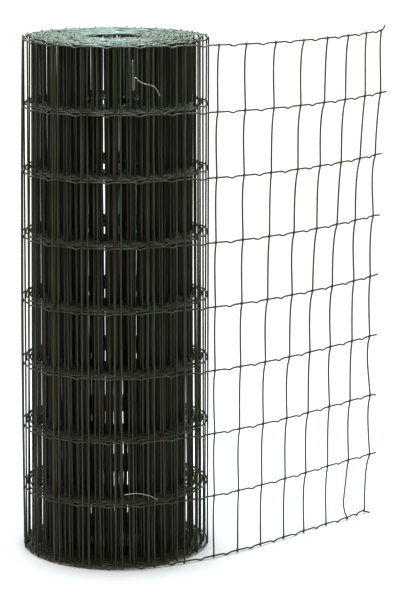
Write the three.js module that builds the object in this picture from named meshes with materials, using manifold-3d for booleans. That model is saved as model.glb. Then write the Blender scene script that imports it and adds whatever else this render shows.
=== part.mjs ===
// A standing roll of coated welded fence netting, with its free end drawn out to the right.
// Millimetres, +Z up. The wound part is one turned solid with its bore, and rings on both
// ends for its turns. The free end has its real wires, fused where they are welded, in upright
// strips that follow its bend.
import * as THREE from 'three';
import { mergeVertices } from 'three/addons/utils/BufferGeometryUtils.js';
import Module from 'manifold-3d';

// The netting: rectangular cells of straight cross wires and crimped line wires
const cell_width = 50.8;
const cell_height = 101.6;
const cell_rows = 8;
const wire_diameter = 2.2;
const weld_sink = 0.6; // how far the two wires of a weld sink into each other
const cross_wire_overhang = 1.8; // past the middle of the edge line wires
const crimp_depth = 2.5; // the dip of a line wire in each cell
const crimp_length = 17;
const crimp_offset = 30; // from a cross wire to the middle of the next dip

// The wound roll: a slightly loose winding that spreads towards its foot
const roll_foot_radius = 146.8;
const roll_top_radius = 141.8;
const bore_radius = 42;
const roll_rise = 3.5; // how far the wound turns stand above the top line wire's middle
const ring_pitch = 12; // rings on the ends, each for a few turns of the winding
const groove_width = 2.4;
const groove_depth = 3;
const roll_sides = 48;

// The free end: where it leaves the roll, and how it bends in plan
const seat_gap = 0.3;
const leave_angle = 18; // degrees from the front towards the right
const bend_radius = 348; // where it leaves the roll
const straight_after = 326; // along the wire, where that bend has gone
const first_cross_wire = 20.7; // along the wire, from where it leaves the roll
const free_cross_wires = 10;
const stub_length = 15; // line wires past the last cross wire
const top_stub_rise = 9; // the top line wire's stub is bent up
const strip_cross_wires = 2; // the free end is divided into upright strips of two cells
const strip_cut_offset = 14; // from a strip's last cross wire to its cut line wires
const twist_length = 400; // the upper line wires lag behind the foot, then curl past it
const twist_lag = 40.4; // degrees at the top after one twist length
const twist_curl = 54.5; // degrees at the top after one twist length
const twist_lean = 7.4; // degrees, a lag that grows faster towards the top

// The two tie wires that hold the outer turn, on the front where the free end leaves
const tie_diameter = 1.8;
const tie_clearance = 1.6; // from a tie's right end to the free end's first cross wire
const upper_tie_length = 31;
const upper_tie_drop = 17; // from its left end down to its right end
const upper_tie_below_top = 57; // from the top line wire down to its middle
const lower_tie_length = 44;
const lower_tie_drop = 4;
const lower_tie_above_line = 16; // from the first line wire above the foot up to its middle

// Facets of the round wires, and of the curves that they follow
const wire_sides = 5;
const tie_steps = 10;
const plan_step = 2; // along the wire, when its plan curve is added up

// What follows from the sizes above
const wire_radius = wire_diameter / 2;
const foot_line_height = wire_radius + crimp_depth;
const mesh_height = cell_rows * cell_height;
const roll_height = foot_line_height + mesh_height + roll_rise;
const layer_offset = wire_diameter - weld_sink;
const coat = { color: 0x1c4437, roughness: 0.42, metalness: 0 };

const radians = THREE.MathUtils.degToRad;
const wasm = await Module();
wasm.setup();

// The radius of the wound roll's outside at a height
function roll_radius(height) {
  return THREE.MathUtils.lerp(roll_foot_radius, roll_top_radius, height / roll_height);
}

// Rings between the bore and the rim: the grooves' middles
function groove_middles(rim_radius) {
  const middles = [];
  for (let radius = bore_radius + ring_pitch; radius < rim_radius - groove_width * 2; radius += ring_pitch) {
    middles.push(radius);
  }
  return middles;
}

// One end of the roll from bore to rim, with a V groove between rings; inward is +1 or -1 in Z
function end_profile(height, rim_radius, inward) {
  const points = [new THREE.Vector2(bore_radius, height)];
  for (const middle of groove_middles(rim_radius)) {
    points.push(new THREE.Vector2(middle - groove_width / 2, height));
    points.push(new THREE.Vector2(middle, height + inward * groove_depth));
    points.push(new THREE.Vector2(middle + groove_width / 2, height));
  }
  points.push(new THREE.Vector2(rim_radius, height));
  return points;
}

function make_roll() {
  const foot = end_profile(0, roll_foot_radius, 1);
  const top = end_profile(roll_height, roll_top_radius, -1).reverse();
  const outline = [...foot, ...top, foot[0].clone()];
  const geometry = new THREE.LatheGeometry(outline, roll_sides);
  geometry.rotateX(Math.PI / 2);
  return geometry;
}

// The free end's direction in plan, in radians, at a place along it and a height above its foot
function heading(along, height) {
  const bend = (along - along * along / (2 * straight_after)) / bend_radius;
  const part = along / twist_length;
  const rise = height / mesh_height;
  const lag = twist_lag * rise + twist_lean * rise * rise;
  return radians(leave_angle + twist_curl * rise * part * part - lag * part) + bend;
}

// The plan of one line wire as a list of points along it, and the point at any place
class LineWirePlan {
  constructor(height, length) {
    this.height = height;
    const leave = radians(leave_angle);
    const radius = roll_radius(height + foot_line_height) + seat_gap + wire_radius;
    const point = new THREE.Vector2(radius * Math.sin(leave), -radius * Math.cos(leave));
    this.points = [point.clone()];
    for (let along = 0; along < length; along += plan_step) {
      const turn = heading(along + plan_step / 2, height);
      point.x += plan_step * Math.cos(turn);
      point.y += plan_step * Math.sin(turn);
      this.points.push(point.clone());
    }
  }

  at(along, dip = 0, outward = 0) {
    const index = Math.min(Math.floor(along / plan_step), this.points.length - 2);
    const here = this.points[index];
    const next = this.points[index + 1];
    const plan = here.clone().lerp(next, along / plan_step - index);
    const turn = heading(along, this.height);
    return new THREE.Vector3(
      plan.x + outward * Math.sin(turn),
      plan.y - outward * Math.cos(turn),
      this.height + foot_line_height - dip,
    );
  }
}

// A path through listed points, one step of the tube for each stretch between them
class PointPath extends THREE.Curve {
  constructor(points) {
    super();
    this.points = points;
  }

  getUtoTmapping(share) {
    return share;
  }

  getPoint(share, target = new THREE.Vector3()) {
    const last = this.points.length - 1;
    const index = Math.min(Math.floor(share * last), last - 1);
    return target.copy(this.points[index]).lerp(this.points[index + 1], share * last - index);
  }
}

function make_wire(points, diameter) {
  const section = new THREE.Shape();
  for (let side = 0; side < wire_sides; side += 1) {
    const turn = 2 * Math.PI * side / wire_sides;
    const x = diameter / 2 * Math.cos(turn);
    const y = diameter / 2 * Math.sin(turn);
    if (side === 0) {
      section.moveTo(x, y);
    } else {
      section.lineTo(x, y);
    }
  }
  section.closePath();
  const settings = { steps: points.length - 1, extrudePath: new PointPath(points), bevelEnabled: false };
  return new THREE.ExtrudeGeometry(section, settings);
}

function to_solid(geometry) {
  const bare = geometry.clone();
  bare.deleteAttribute('normal');
  bare.deleteAttribute('uv');
  const merged = mergeVertices(bare, 1e-4);
  const vertProperties = new Float32Array(merged.attributes.position.array);
  const triVerts = new Uint32Array(merged.index.array);
  return new wasm.Manifold(new wasm.Mesh({ numProp: 3, vertProperties, triVerts }));
}

function to_geometry(solid) {
  const mesh = solid.getMesh();
  const geometry = new THREE.BufferGeometry();
  geometry.setAttribute('position', new THREE.BufferAttribute(mesh.vertProperties, mesh.numProp));
  geometry.setIndex(new THREE.BufferAttribute(mesh.triVerts, 1));
  return geometry;
}

// A stretch of a line wire: straight over each cross wire, with one dip before it
function line_wire_points(plan, cross_places, start, end, end_rise) {
  const points = [plan.at(start)];
  for (const place of cross_places) {
    const middle = place - cell_width + crimp_offset;
    if (middle - crimp_length / 2 > start) {
      points.push(plan.at(middle - crimp_length / 2));
      points.push(plan.at(middle, crimp_depth));
      points.push(plan.at(middle + crimp_length / 2));
    }
    points.push(plan.at(place));
  }
  points.push(plan.at(end, -end_rise));
  return points;
}

// A cross wire: welded to the outside of every line wire
function cross_wire_points(plans, place) {
  const points = plans.map((plan) => plan.at(place, 0, layer_offset));
  const foot = points[0].clone();
  foot.z -= cross_wire_overhang;
  const top = points.at(-1).clone();
  top.z += cross_wire_overhang;
  return [foot, ...points, top];
}

// The free end's upright strips from the roll outwards, each fused at its welds
function make_free_end_strips() {
  const cross_places = [];
  for (let index = 0; index < free_cross_wires; index += 1) {
    cross_places.push(first_cross_wire + index * cell_width);
  }
  const length = cross_places.at(-1) + stub_length;
  const plans = [];
  for (let row = 0; row <= cell_rows; row += 1) {
    plans.push(new LineWirePlan(row * cell_height, length));
  }
  const strips = [];
  for (let first = 0; first < free_cross_wires; first += strip_cross_wires) {
    const places = cross_places.slice(first, first + strip_cross_wires);
    const is_last = first + strip_cross_wires >= free_cross_wires;
    const start = first === 0 ? 0 : places[0] - cell_width + strip_cut_offset + seat_gap;
    const end = is_last ? length : places.at(-1) + strip_cut_offset;
    const line_wires = plans.map((plan, row) => {
      const end_rise = is_last && row === cell_rows ? top_stub_rise : 0;
      return make_wire(line_wire_points(plan, places, start, end, end_rise), wire_diameter);
    });
    const cross_wires = places.map((place) => make_wire(cross_wire_points(plans, place), wire_diameter));
    const solids = [...line_wires, ...cross_wires].map(to_solid);
    strips.push(to_geometry(solids.reduce((whole, wire) => whole.add(wire))));
  }
  return strips;
}

// A tie wire lies across the front of the roll, just off its outside
function make_tie(height, length, drop) {
  const right_end = first_cross_wire - wire_radius - tie_clearance;
  const points = [];
  for (let step = 0; step <= tie_steps; step += 1) {
    const share = step / tie_steps;
    const level = height + drop * (0.5 - share);
    const radius = roll_radius(level) + seat_gap + tie_diameter / 2;
    const turn = radians(leave_angle) + (right_end - length * (1 - share)) / radius;
    points.push(new THREE.Vector3(radius * Math.sin(turn), -radius * Math.cos(turn), level));
  }
  return make_wire(points, tie_diameter);
}

function add_piece(group, name, geometry) {
  const mesh = new THREE.Mesh(geometry, new THREE.MeshStandardMaterial(coat));
  mesh.name = name;
  group.add(mesh);
}

const netting = new THREE.Group();
add_piece(netting, 'roll', make_roll());
make_free_end_strips().forEach((strip, index) => {
  add_piece(netting, `free_end_${index + 1}`, strip);
});
const upper_tie_height = foot_line_height + mesh_height - upper_tie_below_top;
const lower_tie_height = foot_line_height + cell_height + lower_tie_above_line;
add_piece(netting, 'upper_tie_wire', make_tie(upper_tie_height, upper_tie_length, upper_tie_drop));
add_piece(netting, 'lower_tie_wire', make_tie(lower_tie_height, lower_tie_length, lower_tie_drop));

// The origin is the middle of the whole thing's footprint, on the floor
const box = new THREE.Box3().setFromObject(netting, true);
const middle = box.getCenter(new THREE.Vector3());
netting.position.set(-middle.x, -middle.y, -box.min.z);
netting.updateMatrixWorld(true);

export default netting;
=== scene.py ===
"""The looks of a standing roll of coated welded fence netting, with its free end drawn out."""

import logging
import math
from dataclasses import dataclass
from enum import Enum

import bpy
import numpy as np
from mathutils import Matrix, Vector


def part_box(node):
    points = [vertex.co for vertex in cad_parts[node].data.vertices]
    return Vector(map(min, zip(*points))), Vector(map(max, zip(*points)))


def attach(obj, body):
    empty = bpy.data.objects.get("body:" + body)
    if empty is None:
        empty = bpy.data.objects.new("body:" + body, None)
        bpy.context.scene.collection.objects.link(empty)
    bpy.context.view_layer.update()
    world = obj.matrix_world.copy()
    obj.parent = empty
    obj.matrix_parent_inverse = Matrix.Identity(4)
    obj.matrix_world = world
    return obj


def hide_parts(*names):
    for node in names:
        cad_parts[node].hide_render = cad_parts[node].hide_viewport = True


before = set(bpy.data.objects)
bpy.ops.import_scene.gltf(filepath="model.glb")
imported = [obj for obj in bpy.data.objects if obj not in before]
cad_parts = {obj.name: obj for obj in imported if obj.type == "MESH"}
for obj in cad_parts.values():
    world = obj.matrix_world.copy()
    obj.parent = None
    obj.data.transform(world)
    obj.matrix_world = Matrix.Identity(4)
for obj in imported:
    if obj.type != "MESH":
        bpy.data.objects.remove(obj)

ROOT = "root"
ROLL = "roll"
FREE_END = "free_end"
LOG = logging.getLogger("netting")
TOP_TAPER = 0.005
TABLE_STEPS = 6000
PLAN_STEPS = 500
TIP_DOME = 0.25
WELD_PROFILE = ((-1.9, 0.25), (-1.3, 0.78), (-0.5, 1.0), (0.5, 1.0), (1.3, 0.78), (1.9, 0.25))
WELD_SIDES = 6


class Slot(Enum):
    """Names of the record's material slots."""

    COATING = "coating"
    WIRE_CORE = "wire_core"


# Sizes of the netting and of its winding

@dataclass(frozen=True)
class Mesh:
    """Sizes of the welded netting, in metres.

    The cells are tall: line wires run along the netting and cross wires stand upright.
    """

    cell_width: float = 0.0508
    cell_height: float = 0.1016
    rows: int = 8
    wire: float = 0.0025
    core: float = 0.0019
    weld_sink: float = 0.0006
    overhang: float = 0.0018
    crimp_depth: float = 0.0025
    crimp_length: float = 0.017
    crimp_offset: float = 0.030
    weld_lump: float = 0.00165

    @property
    def wire_radius(self) -> float:
        """Radius over the coat."""
        return self.wire / 2

    @property
    def layer_offset(self) -> float:
        """Distance between the middles of the two layers of wires."""
        return self.wire - self.weld_sink

    @property
    def foot(self) -> float:
        """Height of the lowest line wire's middle above the floor."""
        return self.wire_radius + self.crimp_depth

    @property
    def height(self) -> float:
        """Height between the edge line wires."""
        return self.rows * self.cell_height

    def dip(self, along: np.ndarray, first_cross: float) -> np.ndarray:
        """The downward crimp of a line wire at places along it.

        Args:
            along: Places along the netting, from where it leaves the roll.
            first_cross: Place of one cross wire.

        Returns:
            The dip in metres, zero near every cross wire.
        """
        past = np.mod(along - first_cross, self.cell_width)
        part = (past - self.crimp_offset) / (self.crimp_length / 2)
        bump = 0.5 + 0.5 * np.cos(np.pi * np.clip(part, -1, 1))
        return self.crimp_depth * bump


@dataclass(frozen=True)
class LooseTurns:
    """How the slack outer turns close in on the tight winding.

    Each stop gives the turns back from where the free end leaves the roll, and the radius
    of the line wires there at the top and at the foot. The stops fall a quarter of a turn
    apart: front, left, back, right. A belly adds to the radius halfway up.
    """

    stops: tuple[tuple[float, float, float], ...] = (
        (0.00, 0.1433, 0.1483),
        (0.06, 0.1390, 0.1444),
        (0.30, 0.1400, 0.1460),
        (0.55, 0.1420, 0.1456),
        (0.80, 0.1460, 0.1474),
        (1.00, 0.1366, 0.1414),
        (1.30, 0.1372, 0.1420),
        (1.55, 0.1362, 0.1400),
        (1.80, 0.1368, 0.1412),
        (2.05, 0.1312, 0.1376),
        (2.30, 0.1268, 0.1372),
        (2.55, 0.1290, 0.1352),
        (2.80, 0.1340, 0.1374),
        (3.05, 0.1276, 0.1340),
        (3.30, 0.1248, 0.1330),
        (3.80, 0.1250, 0.1316),
        (4.30, 0.1218, 0.1288),
        (4.80, 0.1222, 0.1284),
        (5.30, 0.1194, 0.1254),
        (5.80, 0.1190, 0.1240),
        (6.30, 0.1172, 0.1222),
        (8.00, 0.1138, 0.1174),
        (12.0, 0.1060, 0.1068),
    )
    belly: float = 0.0030
    belly_turns: float = 0.62

    def radius(self, turns: np.ndarray, rise: float) -> np.ndarray:
        """Radius of a line wire's middle.

        Args:
            turns: Turns back from the free end.
            rise: Share of the netting's height, 0 at the foot.

        Returns:
            The radius at each place, for turns up to the last stop.
        """
        stops = np.array(self.stops)
        level = stops[:, 2] + (stops[:, 1] - stops[:, 2]) * rise
        near = np.clip(turns / self.belly_turns, 0, 1)
        belly = self.belly * 4 * rise * (1 - rise) * np.sin(np.pi * near) ** 2
        return smooth_interp(np.minimum(turns, stops[-1, 0]), stops[:, 0], level) + belly


@dataclass(frozen=True)
class Waves:
    """A smooth seeded unevenness, as a sum of sines along the netting and up its height."""

    seed: int
    size: float
    shortest: float
    longest: float
    count: int = 7
    rise_shift: float = 1.6

    def at(self, along: np.ndarray, rise: float | np.ndarray = 0.0) -> np.ndarray:
        """The unevenness at places along the netting.

        Args:
            along: Places along the netting.
            rise: Share of the netting's height, which shifts each wave a little.

        Returns:
            A value between about minus and plus the size.
        """
        draw = np.random.default_rng(self.seed)
        total = np.zeros(np.broadcast(along, rise).shape)
        for _ in range(self.count):
            length = draw.uniform(self.shortest, self.longest)
            phase = draw.uniform(0, 2 * np.pi)
            shift = draw.uniform(-self.rise_shift, self.rise_shift)
            total = total + np.sin(2 * np.pi * along / length + phase + shift * rise)
        return total * self.size / math.sqrt(self.count)


@dataclass(frozen=True)
class Winding:
    """The plan of the whole netting, from the inner end through the turns to the cut free end.

    Places along the netting are counted from where it leaves the roll: negative in the
    winding, positive in the free end. Angles in plan are from the front towards the right.
    """

    mesh: Mesh
    axis: Vector
    foot_radius: float
    top_radius: float
    roll_height: float
    bore_radius: float = 0.042
    seat_gap: float = 0.0003
    pitch: float = 0.001958
    leave_angle: float = math.radians(18)
    bend_radius: float = 0.348
    straight_after: float = 0.326
    twist_length: float = 0.400
    twist_lag: float = math.radians(40.4)
    twist_curl: float = math.radians(54.5)
    twist_lean: float = math.radians(7.4)
    first_cross: float = 0.0207
    free_crosses: int = 10
    stub: float = 0.015
    inner_stub: float = 0.012
    hang: float = 0.0022
    end_sag: float = 0.0030
    back_sag: float = 0.0026
    left_sag_share: float = 0.8
    left_place: float = -0.19
    left_reach: float = 0.12
    loose_length: float = 0.9
    loose_shift: float = 1.4
    end_sag_length: float = 0.2
    edge_row_lift: float = 0.5
    foot_kick: tuple[float, float] = (-0.0075, 0.0080)
    kick_limit: float = 1.2
    sway_turns: tuple[float, float] = (0.1, 0.6)
    lift_turns: tuple[float, float] = (0.25, 1.2)
    lift_limit: float = 2.6
    lean_turn: float = 0.95
    lean_rise: float = 2.2
    loose: LooseTurns = LooseTurns()
    core_sway: Waves = Waves(seed=1205, size=0.0006, shortest=0.09, longest=0.6)
    lean: Waves = Waves(seed=2598, size=0.0022, shortest=0.35, longest=2.4, count=6)
    telescoping: Waves = Waves(seed=11, size=0.0009, shortest=0.35, longest=2.6)

    def edge_radius(self, rise: float | np.ndarray) -> float | np.ndarray:
        """Radius of the roll's outside at a share of the height."""
        level = (self.mesh.foot + rise * self.mesh.height) / self.roll_height
        return self.foot_radius + (self.top_radius - self.foot_radius) * level

    @property
    def total_turns(self) -> float:
        """Turns from the bore to where the free end leaves."""
        last, top, foot = self.loose.stops[-1]
        inner = self.bore_radius + self.mesh.wire
        return last + ((top + foot) / 2 - inner) / self.pitch

    def turn_table(self) -> tuple[np.ndarray, np.ndarray]:
        """Turns back from the free end and the netting's length in them.

        Returns:
            Two arrays that np.interp reads, both rising from 0.
        """
        turns = np.linspace(0, self.total_turns, TABLE_STEPS)
        radius = self.radius(turns, np.zeros_like(turns), 0.5)
        steps = np.diff(turns) * np.pi * (radius[1:] + radius[:-1])
        return turns, np.concatenate([[0.0], np.cumsum(steps)])

    def radius(self, turns: np.ndarray, along: np.ndarray, rise: float) -> np.ndarray:
        """Radius of a line wire's middle in the winding.

        Args:
            turns: Turns back from where the free end leaves.
            along: The same places along the netting, for the unevenness.
            rise: Share of the netting's height.

        Returns:
            The radius from the roll's axis at each place.
        """
        wound = self.pitch * np.maximum(turns - self.loose.stops[-1][0], 0)
        start, length = self.sway_turns
        settled = np.clip((turns - start) / length, 0, 1)
        sway = self.core_sway.at(along, rise) * settled
        return self.loose.radius(turns, rise) - wound + sway

    def lift(self, turns: np.ndarray, along: np.ndarray) -> np.ndarray:
        """How far a turn stands above its level in the free end, never below it."""
        start, length = self.lift_turns
        share = np.clip((turns - start) / length, 0, 1)
        waves = self.telescoping.at(along) + self.telescoping.size
        return np.clip(waves, 0, self.lift_limit * self.telescoping.size) * share

    def heading(self, along: np.ndarray, rise: float) -> np.ndarray:
        """Direction of the free end in plan, in radians from the right towards the back."""
        bend = (along - along**2 / (2 * self.straight_after)) / self.bend_radius
        part = along / self.twist_length
        lag = self.twist_lag * rise + self.twist_lean * rise**2
        return self.leave_angle + self.twist_curl * rise * part**2 - lag * part + bend

    def free_plan(self, along: np.ndarray, rise: float) -> tuple[np.ndarray, np.ndarray]:
        """The free end's line wire in plan.

        Args:
            along: Rising places along the free end.
            rise: Share of the netting's height.

        Returns:
            The places in plan and the outward directions, both as rows of x and y.
        """
        fine = np.linspace(0, self.free_length, PLAN_STEPS)
        middle = (fine[1:] + fine[:-1]) / 2
        turn = self.heading(middle, rise)
        step = np.diff(fine)
        start = self.edge_radius(rise) + self.seat_gap + self.mesh.wire_radius
        x = start * math.sin(self.leave_angle) + np.cumsum(np.cos(turn) * step)
        y = -start * math.cos(self.leave_angle) + np.cumsum(np.sin(turn) * step)
        x = np.concatenate([[start * math.sin(self.leave_angle)], x])
        y = np.concatenate([[-start * math.cos(self.leave_angle)], y])
        place = np.stack([np.interp(along, fine, x), np.interp(along, fine, y)], -1)
        here = self.heading(along, rise)
        return place, np.stack([np.sin(here), -np.cos(here)], -1)

    def slump(self, along: np.ndarray, row: float) -> np.ndarray:
        """How far the netting hangs below its even rows.

        Args:
            along: Places along the netting.
            row: The line wire's number from the foot, or a height between two of them.

        Returns:
            The drop in metres, zero at the foot and in the tight winding.
        """
        loose = np.clip(self.loose_shift + along / self.loose_length, 0, 1)
        rows = min(row, 1) * (1 - self.edge_row_lift * max(row - self.mesh.rows + 1, 0))
        left = np.exp(-(((along - self.left_place) / self.left_reach) ** 2))
        end = (row / self.mesh.rows) ** 3 * np.clip(along / self.end_sag_length, 0, 1)
        return self.hang * rows * (loose + self.left_sag_share * left) + self.end_sag * end

    def end_kick(self, along: np.ndarray, row: float) -> np.ndarray:
        """How the last cell's foot is bent aside in plan, as rows of x and y."""
        start = self.first_cross + (self.free_crosses - 2) * self.mesh.cell_width
        part = np.clip((along - start) / self.mesh.cell_width, 0, self.kick_limit)
        return (part * max(1 - row, 0))[:, None] * np.array(self.foot_kick)

    @property
    def free_length(self) -> float:
        """Length of the free end from the roll to its cut."""
        return self.first_cross + (self.free_crosses - 1) * self.mesh.cell_width + self.stub

    def line_point(self, along: np.ndarray, row: float) -> tuple[np.ndarray, np.ndarray]:
        """Middle of the line wires' layer at places along the netting, without the crimps.

        Args:
            along: Places along the netting.
            row: The line wire's number from the foot, or a height between two of them.

        Returns:
            Points and outward directions in the frame, one row for each place.
        """
        rise = row / self.mesh.rows
        table = self.turn_table()
        turns = np.interp(-along, table[1], table[0])
        radius = self.radius(turns, along, rise)
        angle = self.leave_angle - 2 * np.pi * turns
        out = np.stack([np.sin(angle), -np.cos(angle)], -1)
        place = out * radius[:, None]
        free = along > 0
        if free.any():
            place[free], out[free] = self.free_plan(along[free], rise)
            place[free] += self.end_kick(along[free], row)
        level = self.mesh.foot + row * self.mesh.cell_height + self.lift(turns, along)
        level = level - self.slump(along, row)
        behind = np.where(free, 0, 0.5 - 0.5 * np.cos(angle))
        level = level - self.back_sag * behind * rise**2
        points = np.column_stack([place[:, 0] + self.axis.x, place[:, 1] + self.axis.y, level])
        return points, np.column_stack([out, np.zeros(len(out))])

    def leaning(self, crosses: np.ndarray, rise: float) -> np.ndarray:
        """Places of wound cross wires at one height, which lean a little inside the winding."""
        table = self.turn_table()
        turns = np.interp(-crosses, table[1], table[0])
        held = np.clip(turns - self.lean_turn, 0, 1)
        return crosses + self.lean.at(crosses, self.lean_rise * rise) * held

    def cross_places(self) -> np.ndarray:
        """Places of all cross wires along the netting, from the inner end outwards."""
        length = self.turn_table()[1][-1] - self.inner_stub
        inner = int((length + self.first_cross) / self.mesh.cell_width)
        index = np.arange(-inner, self.free_crosses)
        return self.first_cross + index * self.mesh.cell_width


# Meshes of round wires

class WireMesh:
    """Collects round wires that follow listed points and joins them in one mesh object."""

    def __init__(self, name: str) -> None:
        """Starts an empty mesh for a piece with this name."""
        self.name = name
        self.points: list[np.ndarray] = []
        self.faces: list[np.ndarray] = []
        self.count = 0

    def _add(self, points: np.ndarray, quads: np.ndarray) -> None:
        """Adds points and the faces that index them from 0."""
        self.points.append(points)
        self.faces.append(quads + self.count)
        self.count += len(points)

    @staticmethod
    def frames(path: np.ndarray, guide: np.ndarray) -> tuple[np.ndarray, np.ndarray, np.ndarray]:
        """Directions of a wire's section along its path.

        Args:
            path: The wire's middle points.
            guide: A direction for each point that the section's first axis keeps to.

        Returns:
            The tangent and the section's two axes at each point.
        """
        along = np.gradient(path, axis=0)
        along /= np.linalg.norm(along, axis=1, keepdims=True)
        first = guide - np.sum(guide * along, axis=1, keepdims=True) * along
        first /= np.linalg.norm(first, axis=1, keepdims=True)
        return along, first, np.cross(along, first)

    def add_wire(
        self, path: np.ndarray, guide: np.ndarray, radius: float | np.ndarray, sides: int
    ) -> None:
        """Adds one round wire with slightly domed ends.

        Args:
            path: The wire's middle points.
            guide: A direction for each point that the section keeps to.
            radius: The wire's radius, or one for each point.
            sides: Sides of the section.
        """
        along, first, second = self.frames(path, guide)
        radii = np.broadcast_to(radius, len(path))
        turn = 2 * np.pi * np.arange(sides) / sides
        ring = (
            first[:, None, :] * np.cos(turn)[None, :, None]
            + second[:, None, :] * np.sin(turn)[None, :, None]
        )
        body = (path[:, None, :] + ring * radii[:, None, None]).reshape(-1, 3)
        tips = np.array([
            path[0] - along[0] * radii[0] * TIP_DOME,
            path[-1] + along[-1] * radii[-1] * TIP_DOME,
        ])
        rows = np.arange(len(path) - 1)[:, None] * sides
        side = np.arange(sides)[None, :]
        after = (side + 1) % sides
        quads = np.stack(
            [rows + side, rows + after, rows + sides + after, rows + sides + side], -1
        ).reshape(-1, 4)
        last = (len(path) - 1) * sides
        fan = side.ravel()
        next_fan = after.ravel()
        start_tip = np.full(sides, len(body))
        end_tip = start_tip + 1
        start = np.stack([start_tip, next_fan, fan, fan], -1)
        end = np.stack([end_tip, last + fan, last + next_fan, last + next_fan], -1)
        self._add(np.vstack([body, tips]), np.vstack([quads, start, end]))

    def add_weld(self, middle: np.ndarray, out: np.ndarray, size: float) -> None:
        """Adds the lump of coat around one weld.

        Args:
            middle: Middle of the weld.
            out: The netting's outward direction there.
            size: The lump's greatest radius.
        """
        heights, radii = np.array(WELD_PROFILE).T * size
        path = middle + heights[:, None] * np.array([0.0, 0.0, 1.0])
        self.add_wire(path, np.repeat(out[None, :], len(path), 0), radii, WELD_SIDES)

    def build(self) -> bpy.types.Object:
        """Makes the object, smooth over its round sides.

        Returns:
            The new object, linked to the scene.
        """
        faces = np.vstack(self.faces)
        triangle = faces[:, 2] == faces[:, 3]
        loops = np.where(triangle, 3, 4)
        keep = np.ones_like(faces, bool)
        keep[triangle, 3] = False
        data = bpy.data.meshes.new(self.name)
        points = np.vstack(self.points).astype(np.float32)
        data.vertices.add(len(points))
        data.vertices.foreach_set("co", points.ravel())
        data.loops.add(int(loops.sum()))
        data.loops.foreach_set("vertex_index", faces[keep].astype(np.int32))
        data.polygons.add(len(faces))
        starts = np.concatenate([[0], np.cumsum(loops)[:-1]]).astype(np.int32)
        data.polygons.foreach_set("loop_start", starts)
        data.polygons.foreach_set("use_smooth", np.ones(len(faces), bool))
        data.update(calc_edges=True)
        data.validate()
        piece = bpy.data.objects.new(self.name, data)
        bpy.context.scene.collection.objects.link(piece)
        return piece


def place_piece(
    piece: bpy.types.Object, material: bpy.types.Material, slot: Slot, *nodes: str
) -> bpy.types.Object:
    """Dresses a piece, fixes it to the roll's body and hides the modelled solids it stands for.

    Args:
        piece: The new object.
        material: Its finish.
        slot: The record's slot that the finish belongs to; not used.
        nodes: The modelled solids that the piece stands for.

    Returns:
        The piece.
    """
    piece.data.materials.clear()
    piece.data.materials.append(material)
    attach(piece, ROOT)
    if nodes:
        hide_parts(*nodes)
    sides = sum(len(face.vertices) - 2 for face in piece.data.polygons)
    LOG.info("%s: %d triangles", piece.name, sides)
    return piece


# Shader maths

@dataclass
class Socket:
    """A value or link in a shader, whose operators add the nodes of an expression."""

    graph: "Graph"
    link: bpy.types.NodeSocket

    def _math(self, kind: str, left: "Socket | float", right: "Socket | float") -> "Socket":
        """Adds a Math node that combines two values."""
        return self.graph.node("ShaderNodeMath", {"operation": kind}, {0: left, 1: right})

    def __add__(self, other: "Socket | float") -> "Socket":
        """Adds a value."""
        return self._math("ADD", self, other)

    __radd__ = __add__

    def __mul__(self, other: "Socket | float") -> "Socket":
        """Multiplies by a value."""
        return self._math("MULTIPLY", self, other)

    __rmul__ = __mul__


class Graph:
    """The nodes of one material."""

    def __init__(self, name: str) -> None:
        """Makes a material with an empty node tree."""
        self.material = bpy.data.materials.new(name)
        self.material.use_nodes = True
        self.tree = self.material.node_tree
        self.tree.nodes.clear()

    def node(
        self,
        kind: str,
        settings: dict[str, object] | None = None,
        sockets: dict[int | str, object] | None = None,
        output: int | str = 0,
    ) -> Socket:
        """Adds a node.

        Args:
            kind: Its type.
            settings: Properties to set first. "stops" sets a colour ramp's stops.
            sockets: Input sockets by index or name, with a value or a Socket to link.
            output: The output socket to return.

        Returns:
            The chosen output.
        """
        made = self.tree.nodes.new(kind)
        for key, value in (settings or {}).items():
            if key == "stops":
                self._set_stops(made.color_ramp, value)
            else:
                setattr(made, key, value)
        for key, value in (sockets or {}).items():
            if isinstance(value, Socket):
                self.tree.links.new(value.link, made.inputs[key])
            else:
                made.inputs[key].default_value = value
        return Socket(self, made.outputs[output] if len(made.outputs) else None)

    @staticmethod
    def _set_stops(ramp: bpy.types.ColorRamp, stops: list[tuple[float, float]]) -> None:
        """Sets a grey ramp's stops from places and values."""
        while len(ramp.elements) > len(stops):
            ramp.elements.remove(ramp.elements[-1])
        while len(ramp.elements) < len(stops):
            ramp.elements.new(1.0)
        for element, (place, value) in zip(ramp.elements, stops):
            element.position = place
            element.color = (value, value, value, 1)

    def noise(self, scale: float, detail: float, stretch: tuple[float, float, float]) -> Socket:
        """A noise value in the object's own space.

        Args:
            scale: Features for each metre.
            detail: Octaves.
            stretch: Scale along each axis.

        Returns:
            The noise's value.
        """
        place = self.node("ShaderNodeTexCoord", output="Object")
        mapped = self.node("ShaderNodeMapping", {}, {"Vector": place, "Scale": stretch})
        return self.node(
            "ShaderNodeTexNoise", {}, {"Vector": mapped, "Scale": scale, "Detail": detail}
        )

    def ramp(self, value: Socket, stops: list[tuple[float, float]]) -> Socket:
        """Maps a value through a grey ramp."""
        return self.node("ShaderNodeValToRGB", {"stops": stops}, {0: value})

    def mix(self, share: Socket, first: object, second: object) -> Socket:
        """Mixes two colours by a share."""
        settings = {"data_type": "RGBA"}
        sockets = {"Factor": share, 6: first, 7: second}
        return self.node("ShaderNodeMix", settings, sockets, output=2)

    def finish(self, shader: Socket) -> bpy.types.Material:
        """Links the shader to the material's output."""
        self.node("ShaderNodeOutputMaterial", {}, {"Surface": shader})
        return self.material


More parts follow.
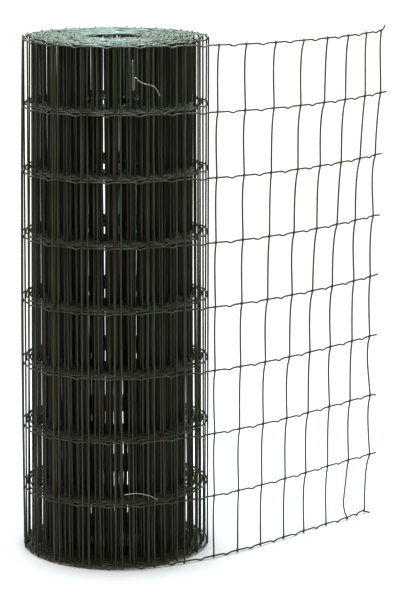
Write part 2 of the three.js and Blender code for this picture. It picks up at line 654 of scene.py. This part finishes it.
@dataclass(frozen=True)
class MossCoat:
    """The dark moss green plastic coat: drawn on hot, so it has a soft gloss and fine ripples."""

    name: str = "moss_coat"
    deep: tuple[float, float, float] = (0.046, 0.042, 0.023)
    worn: tuple[float, float, float] = (0.075, 0.093, 0.068)
    dust: tuple[float, float, float] = (0.16, 0.17, 0.14)
    smooth: float = 0.30
    rough: float = 0.52
    bump: float = 0.12
    bump_height: float = 0.0002
    dust_share: float = 0.16
    scuff_rough: float = 0.10
    streak_scale: float = 60
    speck_scale: float = 420
    ripple_scale: float = 900
    plastic_ior: float = 1.5
    gloss_level: float = 0.36

    def build(self) -> bpy.types.Material:
        """Makes the material.

        Returns:
            A material with colour, gloss and bump that vary over the wire.
        """
        graph = Graph(self.name)
        streak = graph.noise(self.streak_scale, 3, (1, 1, 0.22))
        tone = graph.ramp(streak, [(0.34, 0.0), (0.68, 1.0)])
        speck = graph.noise(self.speck_scale, 2, (1, 1, 1))
        scuff = graph.ramp(speck, [(0.60, 0.0), (0.78, 1.0)])
        colour = graph.mix(tone, (*self.deep, 1), (*self.worn, 1))
        dusty = graph.mix(scuff * self.dust_share, colour, (*self.dust, 1))
        rough = self.smooth + tone * (self.rough - self.smooth) + scuff * self.scuff_rough
        ripple = graph.noise(self.ripple_scale, 2, (1, 1, 1))
        normal = graph.node(
            "ShaderNodeBump",
            {},
            {"Strength": self.bump, "Distance": self.bump_height, "Height": ripple},
        )
        shader = graph.node(
            "ShaderNodeBsdfPrincipled",
            {},
            {
                "Base Color": dusty,
                "Roughness": rough,
                "Normal": normal,
                "IOR": self.plastic_ior,
                "Specular IOR Level": self.gloss_level,
            },
        )
        return graph.finish(shader)


@dataclass(frozen=True)
class CutSteel:
    """The bare steel core that shows where a wire was cut."""

    name: str = "cut_steel"
    bright: tuple[float, float, float] = (0.58, 0.57, 0.55)
    dull: tuple[float, float, float] = (0.30, 0.27, 0.24)
    mottle_scale: float = 900
    smooth: float = 0.34
    rough_spread: float = 0.25

    def build(self) -> bpy.types.Material:
        """Makes the material.

        Returns:
            A metal with a dull mottle.
        """
        graph = Graph(self.name)
        noise = graph.noise(self.mottle_scale, 3, (1, 1, 1))
        mottle = graph.ramp(noise, [(0.35, 0.0), (0.70, 1.0)])
        rough = self.smooth + mottle * self.rough_spread
        colour = graph.mix(mottle, (*self.bright, 1), (*self.dull, 1))
        shader = graph.node(
            "ShaderNodeBsdfPrincipled",
            {},
            {"Base Color": colour, "Roughness": rough, "Metallic": 1.0},
        )
        return graph.finish(shader)


@dataclass(frozen=True)
class TieSteel:
    """The bare binding wire of the ties, dulled by its zinc."""

    name: str = "tie_steel"
    bright: tuple[float, float, float] = (0.46, 0.43, 0.40)
    dull: tuple[float, float, float] = (0.26, 0.24, 0.22)
    cloud_scale: float = 260
    smooth: float = 0.38
    rough_spread: float = 0.2
    metal: float = 0.85

    def build(self) -> bpy.types.Material:
        """Makes the material.

        Returns:
            A metal with a cloudy mottle along the wire.
        """
        graph = Graph(self.name)
        noise = graph.noise(self.cloud_scale, 3, (1, 1, 1))
        cloud = graph.ramp(noise, [(0.35, 0.0), (0.70, 1.0)])
        rough = self.smooth + cloud * self.rough_spread
        colour = graph.mix(cloud, (*self.bright, 1), (*self.dull, 1))
        shader = graph.node(
            "ShaderNodeBsdfPrincipled",
            {},
            {"Base Color": colour, "Roughness": rough, "Metallic": self.metal},
        )
        return graph.finish(shader)


@dataclass(frozen=True)
class PaleFloor:
    """The plain pale floor."""

    name: str = "pale_floor"
    dim: tuple[float, float, float] = (0.82, 0.82, 0.825)
    light: tuple[float, float, float] = (0.84, 0.84, 0.845)
    matt: float = 0.9

    def build(self) -> bpy.types.Material:
        """Makes the material.

        Returns:
            A matt white with a faint mottle.
        """
        graph = Graph(self.name)
        mottle = graph.ramp(graph.noise(3, 2, (1, 1, 1)), [(0.3, 0.0), (0.7, 1.0)])
        colour = graph.mix(mottle, (*self.dim, 1), (*self.light, 1))
        shader = graph.node(
            "ShaderNodeBsdfPrincipled", {}, {"Base Color": colour, "Roughness": self.matt}
        )
        return graph.finish(shader)


# Sub-assemblies

@dataclass
class Roll:
    """The wound turns: nine long line wires, and the cross wires between them."""

    winding: Winding
    coat: bpy.types.Material
    line_sides: int = 6
    cross_sides: int = 6
    cross_steps: int = 16
    cross_sway: Waves = Waves(seed=21, size=0.0003, shortest=0.16, longest=0.5, count=4)
    welded_turns: float = 3.2
    step_offsets: tuple[float, ...] = (0.0, 0.0107, 0.0215, 0.0258, 0.0300, 0.0342, 0.0385)
    gap_at_free_end: float = 0.002
    sway_phase: float = 7.3

    def line_places(self) -> np.ndarray:
        """Places along the winding that a line wire passes through, ending at the free end."""
        crosses = self.winding.cross_places()
        crosses = crosses[crosses < self.winding.mesh.cell_width]
        start = crosses[0] - self.winding.inner_stub
        places = (crosses[:, None] + np.array(self.step_offsets)[None, :]).ravel()
        places = places[places < -self.gap_at_free_end]
        return np.concatenate([[start], places, [0.0]])

    def build(self) -> None:
        """Makes the wound line wires and cross wires."""
        winding = self.winding
        mesh = winding.mesh
        along = self.line_places()
        for row in range(mesh.rows + 1):
            points, out = winding.line_point(along, row)
            points[:, 2] -= mesh.dip(along, winding.first_cross)
            wire = WireMesh(f"wound_line_wire_{row + 1}")
            wire.add_wire(points, out, mesh.wire_radius, self.line_sides)
            place_piece(wire.build(), self.coat, Slot.COATING, ROLL)
        crosses = winding.cross_places()
        crosses = crosses[crosses < 0]
        wires = WireMesh("wound_cross_wires")
        rows = np.linspace(0, mesh.rows, self.cross_steps + 1)
        columns = [
            winding.line_point(winding.leaning(crosses, row / mesh.rows), float(row))
            for row in rows
        ]
        places = np.stack([points + out * mesh.layer_offset for points, out in columns], 1)
        outs = np.stack([out for _, out in columns], 1)
        for index, along_here in enumerate(crosses):
            path = places[index]
            side = np.cross(outs[index], [0.0, 0.0, 1.0])
            height = rows / mesh.rows + along_here * self.sway_phase
            path = path + side * self.cross_sway.at(height, 0.0)[:, None]
            wires.add_wire(
                end_overhang(path, mesh.overhang), repeat_ends(outs[index]),
                mesh.wire_radius, self.cross_sides,
            )
        self.add_welds(wires, crosses)
        place_piece(wires.build(), self.coat, Slot.COATING, ROLL)

    def add_welds(self, wires: WireMesh, crosses: np.ndarray) -> None:
        """Adds the weld lumps of the loose outer turns, which alone can be seen close to.

        Args:
            wires: The mesh that takes them.
            crosses: Places of the wound cross wires.
        """
        winding = self.winding
        lengths = winding.turn_table()
        outer = crosses[crosses > -np.interp(self.welded_turns, *lengths)]
        for row in range(winding.mesh.rows + 1):
            places = winding.leaning(outer, row / winding.mesh.rows)
            points, out = winding.line_point(places, row)
            for point, facing in zip(points, out):
                middle = point + facing * winding.mesh.layer_offset / 2
                wires.add_weld(middle, facing, winding.mesh.weld_lump)


def end_overhang(path: np.ndarray, overhang: float) -> np.ndarray:
    """A cross wire's path with a short end past its first and last welds."""
    low = path[0] - [0, 0, overhang]
    high = path[-1] + [0, 0, overhang]
    return np.vstack([low, path, high])


def repeat_ends(rows: np.ndarray) -> np.ndarray:
    """The same rows with the first and last one repeated."""
    return np.vstack([rows[:1], rows, rows[-1:]])


@dataclass
class FreeEnd:
    """The drawn-out end of the netting, with its cut stubs."""

    winding: Winding
    coat: bpy.types.Material
    steel: bpy.types.Material
    nodes: list[str]
    sides: int = 10
    line_step: float = 0.0042
    cross_steps: int = 72
    top_stub_rise: float = 0.0125
    top_stub_cut: float = 0.0045
    core_length: float = 0.0005
    foot_stub_turn: float = math.radians(-42)
    stub_flare: float = 0.0022
    long_stub_row: int = 7
    long_stub_flare: float = 0.0058
    bows: tuple[float, ...] = (
        0.0006, 0.0010, 0.0020, 0.0022, 0.0028, 0.0036, 0.0040, 0.0038, 0.0044, 0.0052,
    )
    bow_seed: int = 31
    stray_rows: tuple[float, ...] = (0, 2, 4, 5, 6, 7, 8)
    strays: tuple[tuple[int, tuple[float, ...]], ...] = (
        (2, (0.0034, 0.0030, 0.0020, 0.0020, 0.0022, 0.0028, 0.0042)),
        (4, (-0.0018, -0.0020, 0.0000, 0.0000, 0.0002, 0.0018, 0.0018)),
        (5, (0.0000, -0.0010, 0.0012, 0.0002, 0.0030, 0.0037, 0.0050)),
        (6, (-0.0028, -0.0024, -0.0034, 0.0000, 0.0012, 0.0034, 0.0036)),
        (7, (0.0000, -0.0010, -0.0062, -0.0020, 0.0007, 0.0026, 0.0013)),
        (8, (0.0000, 0.0004, -0.0008, -0.0042, 0.0000, 0.0048, -0.0015)),
        (9, (0.0006, 0.0010, -0.0060, -0.0034, -0.0048, 0.0032, -0.0058)),
    )
    foot_hook_wire: int = 8
    foot_hook: float = 0.0075
    bow_spread: tuple[float, float] = (0.45, 1.35)
    bow_skew: float = 0.62
    hook_skew: float = 2.4
    stub_curve: float = 1.5
    tip_waver: float = 0.0015

    def line_path(self, row: int) -> tuple[np.ndarray, np.ndarray]:
        """A line wire's points from the roll to its cut end.

        Args:
            row: The line wire's number from the foot.

        Returns:
            Points and outward directions.
        """
        winding = self.winding
        mesh = winding.mesh
        length = winding.free_length - (self.top_stub_cut if row == mesh.rows else 0)
        along = np.linspace(0, length, int(length / self.line_step))
        points, out = winding.line_point(along, row)
        points[:, 2] -= mesh.dip(along, winding.first_cross)
        beyond = np.clip(along - (winding.free_length - winding.stub), 0, None)
        past = beyond / winding.stub
        if row == mesh.rows:
            points[:, 2] += self.top_stub_rise * past**self.stub_curve
        elif row > 0:
            flare = self.long_stub_flare if row == self.long_stub_row else self.stub_flare
            points += out * flare * (past**self.stub_curve)[:, None]
            points[:, 2] += self.tip_waver * math.sin(row * 2.1) * past**2
        else:
            last = points[beyond == 0][-1]
            reach = np.array([math.cos(self.foot_stub_turn), math.sin(self.foot_stub_turn), 0])
            bent = last + reach * beyond[:, None]
            points = np.where((beyond > 0)[:, None], bent, points)
            points[:, 2] = np.where(beyond > 0, last[2], points[:, 2])
        return points, out

    def bow(self, wire: int, rows: np.ndarray) -> np.ndarray:
        """How far a cross wire bows back along the netting between its welds.

        Args:
            wire: The cross wire's number from the roll.
            rows: Heights in rows from the foot.

        Returns:
            The shift along the netting at each height.
        """
        draw = np.random.default_rng(self.bow_seed + wire)
        factor = draw.uniform(*self.bow_spread, self.winding.mesh.rows + 1)
        cell = np.minimum(rows.astype(int), self.winding.mesh.rows - 1)
        down = 1 - (rows - cell)
        shift = -self.bows[wire] * factor[cell] * np.sin(np.pi * down**self.bow_skew)
        for number, strays in self.strays:
            if number == wire:
                known = np.array(self.stray_rows)
                shift = shift + smooth_interp(rows, known, np.array(strays))
        if wire == self.foot_hook_wire:
            hook = np.sin(np.pi * down**self.hook_skew)
            shift = shift - self.foot_hook * np.where(cell == 0, hook, 0)
        return shift

    def build(self) -> None:
        """Makes the free end's wires and the cut cores."""
        winding = self.winding
        mesh = winding.mesh
        lines = WireMesh("free_line_wires")
        cores = WireMesh("cut_cores")
        for row in range(mesh.rows + 1):
            points, out = self.line_path(row)
            lines.add_wire(points, out, mesh.wire_radius, self.sides)
            tip = points[-1] - points[-2]
            tip = tip / np.linalg.norm(tip)
            path = np.array([points[-1], points[-1] + tip * self.core_length])
            cores.add_wire(path, out[-2:], mesh.core / 2, self.sides)
        place_piece(lines.build(), self.coat, Slot.COATING, *self.nodes)
        place_piece(cores.build(), self.steel, Slot.WIRE_CORE, self.nodes[-1])
        crosses = winding.cross_places()
        wires = WireMesh("free_cross_wires")
        rows = np.linspace(0, mesh.rows, self.cross_steps + 1)
        for index, along in enumerate(crosses[crosses > 0]):
            path = []
            outs = []
            for row, shift in zip(rows, self.bow(index, rows)):
                points, out = winding.line_point(np.array([along + shift]), float(row))
                path.append(points[0] + out[0] * mesh.layer_offset)
                outs.append(out[0])
            wires.add_wire(
                end_overhang(np.array(path), mesh.overhang), repeat_ends(np.array(outs)),
                mesh.wire_radius, self.sides,
            )
            for step in range(0, self.cross_steps + 1, self.cross_steps // mesh.rows):
                middle = path[step] - outs[step] * mesh.layer_offset / 2
                wires.add_weld(middle, outs[step], mesh.weld_lump)
        place_piece(wires.build(), self.coat, Slot.COATING, *self.nodes)


@dataclass
class TieWire:
    """A short wire that hooks the outer turn to the winding."""

    winding: Winding
    steel: bpy.types.Material
    name: str
    route: list[tuple[float, float, float]]
    wire: float = 0.0018
    sides: int = 8
    steps: int = 60

    def build(self) -> None:
        """Makes the wire along its route of angle in degrees, height and stand-off."""
        stops = np.array(self.route)
        share = np.linspace(0, 1, len(stops))
        fine = np.linspace(0, 1, self.steps)
        angle = np.radians(smooth_interp(fine, share, stops[:, 0]))
        height = smooth_interp(fine, share, stops[:, 1])
        stand_off = smooth_interp(fine, share, stops[:, 2])
        rise = (height - self.winding.mesh.foot) / self.winding.mesh.height
        radius = self.winding.edge_radius(rise) + stand_off + self.wire / 2
        out = np.column_stack([np.sin(angle), -np.cos(angle), np.zeros(self.steps)])
        path = out * radius[:, None]
        path[:, 0] += self.winding.axis.x
        path[:, 1] += self.winding.axis.y
        path[:, 2] = height
        wire = WireMesh(self.name)
        wire.add_wire(path, out, self.wire / 2, self.sides)
        place_piece(wire.build(), self.steel, Slot.WIRE_CORE, self.name.replace("_piece", ""))


def smooth_interp(at: np.ndarray, places: np.ndarray, values: np.ndarray) -> np.ndarray:
    """A smooth curve through listed values.

    Args:
        at: Where the curve is wanted.
        places: Rising places of the values.
        values: The values.

    Returns:
        The curve's values, by cubic pieces with the neighbours' slopes.
    """
    slope = np.gradient(values, places)
    index = np.clip(np.searchsorted(places, at, side="right") - 1, 0, len(places) - 2)
    width = places[index + 1] - places[index]
    part = (at - places[index]) / width
    rest = 1 - part
    return (
        values[index] * (1 + 2 * part) * rest**2
        + slope[index] * width * part * rest**2
        + values[index + 1] * (3 - 2 * part) * part**2
        - slope[index + 1] * width * rest * part**2
    )


@dataclass(frozen=True)
class SoftBox:
    """An evenly glowing panel, placed from the middle of the roll, with its light's direction."""

    name: str
    place: tuple[float, float, float]
    aim: tuple[float, float, float]
    size: tuple[float, float]
    glow: float
    colour: tuple[float, float, float]


@dataclass
class Studio:
    """The floor, the lights and the camera of a plain bright studio."""

    axis: Vector
    focal_pixels: float = 2461
    frame_pixels: float = 600
    sensor: float = 36.0
    camera_side: float = 0.128
    camera_back: float = 3.80
    camera_height: float = 1.2336
    pitch: float = math.radians(12.38)
    yaw: float = math.radians(0.18)
    roll: float = math.radians(0.22)
    floor_side: float = 30.0
    floor_gap: float = 0.0004
    middle_height: float = 0.4
    sky: tuple[float, float, float] = (1.0, 0.93, 0.85)
    sky_strength: float = 0.33
    contrast: float = 0.76
    boxes: tuple[SoftBox, ...] = (
        SoftBox("ceiling_box", (0, 6.3, 3.0), (0, 0, -1), (16, 12.8), 1.41, (1, 1, 1)),
        SoftBox("overhead_box", (0, 0.06, 0.85), (0, 0, -1), (0.6, 0.5), 19.5, (0.68, 0.87, 1)),
        SoftBox(
            "front_top_box", (0, -0.5, 0.95), (0, 0.3, -1), (0.8, 0.3), 10.0, (0.97, 0.97, 0.93)
        ),
        SoftBox("low_box", (-0.1, -0.9, -0.28), (0, 1, 0), (1.2, 0.2), 3.8, (1, 0.84, 0.68)),
        SoftBox("bore_fill", (0, -0.03, 0.402), (0, 1, 0), (0.06, 0.032), 16.0, (0.74, 0.89, 1)),
    )

    def build_floor(self, material: bpy.types.Material) -> None:
        """Makes the floor."""
        bpy.ops.mesh.primitive_plane_add(size=self.floor_side)
        floor = bpy.context.object
        floor.name = "floor"
        floor.location = (self.axis.x, self.axis.y, -self.floor_gap)
        floor.data.materials.append(material)

    def soft_box(self, box: SoftBox) -> None:
        """Adds one soft box that faces its own way."""
        data = bpy.data.lights.new(box.name, "AREA")
        data.shape = "RECTANGLE"
        data.size, data.size_y = box.size
        data.energy = box.glow * math.pi * box.size[0] * box.size[1]
        data.color = box.colour
        light = bpy.data.objects.new(box.name, data)
        middle = Vector((self.axis.x, self.axis.y, self.middle_height))
        light.location = middle + Vector(box.place)
        light.visible_camera = False
        aim = Vector(box.aim)
        light.rotation_euler = aim.to_track_quat("-Z", "Y").to_euler()
        bpy.context.scene.collection.objects.link(light)

    def build_lights(self) -> None:
        """Makes the soft boxes and the dim surroundings."""
        for box in self.boxes:
            self.soft_box(box)
        world = bpy.data.worlds.new("studio")
        world.use_nodes = True
        background = world.node_tree.nodes["Background"]
        background.inputs["Color"].default_value = (*self.sky, 1)
        background.inputs["Strength"].default_value = self.sky_strength
        bpy.context.scene.world = world
        display = bpy.context.scene.view_settings
        display.view_transform = "Standard"
        display.gamma = self.contrast

    def build_camera(self) -> None:
        """Makes the camera at the photograph's place and angle."""
        data = bpy.data.cameras.new("camera")
        data.sensor_width = self.sensor
        data.lens = self.focal_pixels * self.sensor / self.frame_pixels
        camera = bpy.data.objects.new("camera", data)
        sin_yaw, cos_yaw = math.sin(self.yaw), math.cos(self.yaw)
        sin_pitch, cos_pitch = math.sin(self.pitch), math.cos(self.pitch)
        ahead = Vector((sin_yaw * cos_pitch, cos_yaw * cos_pitch, -sin_pitch))
        level_up = Vector((sin_yaw * sin_pitch, cos_yaw * sin_pitch, cos_pitch))
        level_right = Vector((cos_yaw, -sin_yaw, 0))
        right = level_right * math.cos(self.roll) + level_up * math.sin(self.roll)
        up = level_up * math.cos(self.roll) - level_right * math.sin(self.roll)
        place = Vector((
            self.axis.x + self.camera_side,
            self.axis.y - self.camera_back,
            self.camera_height,
        ))
        turn = Matrix((right, up, -ahead)).transposed().to_4x4()
        camera.matrix_world = Matrix.Translation(place) @ turn
        bpy.context.scene.collection.objects.link(camera)
        bpy.context.scene.camera = camera


def main() -> None:
    """Builds the roll, the free end, the ties and the studio."""
    logging.basicConfig(level=logging.INFO, format="%(message)s")
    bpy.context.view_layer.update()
    low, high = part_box(ROLL)
    axis = (low + high) / 2
    mesh = Mesh()
    radius = (high.x - low.x) / 2
    winding = Winding(mesh, axis, radius, radius - TOP_TAPER, high.z)
    studio = Studio(axis)
    studio.build_camera()
    studio.build_floor(PaleFloor().build())
    studio.build_lights()
    coat = MossCoat().build()
    steel = CutSteel().build()
    LOG.info("turns %.1f, cross wires %d", winding.total_turns, len(winding.cross_places()))
    Roll(winding, coat).build()
    strips = sorted(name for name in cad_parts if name.startswith(FREE_END))
    FreeEnd(winding, coat, steel, strips).build()
    tie_steel = TieSteel().build()
    TieWire(winding, tie_steel, "upper_tie_wire_piece", [
        (13.2, 0.7960, 0.0020), (13.3, 0.7760, 0.0034), (13.3, 0.7560, 0.0040),
        (13.5, 0.7515, 0.0046), (13.9, 0.7560, 0.0052), (14.3, 0.7700, 0.0056),
        (17.2, 0.7640, 0.0058), (20.3, 0.7602, 0.0060), (25.3, 0.7563, 0.0062),
        (27.6, 0.7500, 0.0066), (29.4, 0.7412, 0.0072),
    ]).build()
    TieWire(winding, tie_steel, "lower_tie_wire_piece", [
        (7.2, 0.1238, 0.004), (15.0, 0.1250, 0.005), (22.6, 0.1192, 0.005), (27.2, 0.1121, 0.006),
    ]).build()


if __name__ == "__main__":
    main()
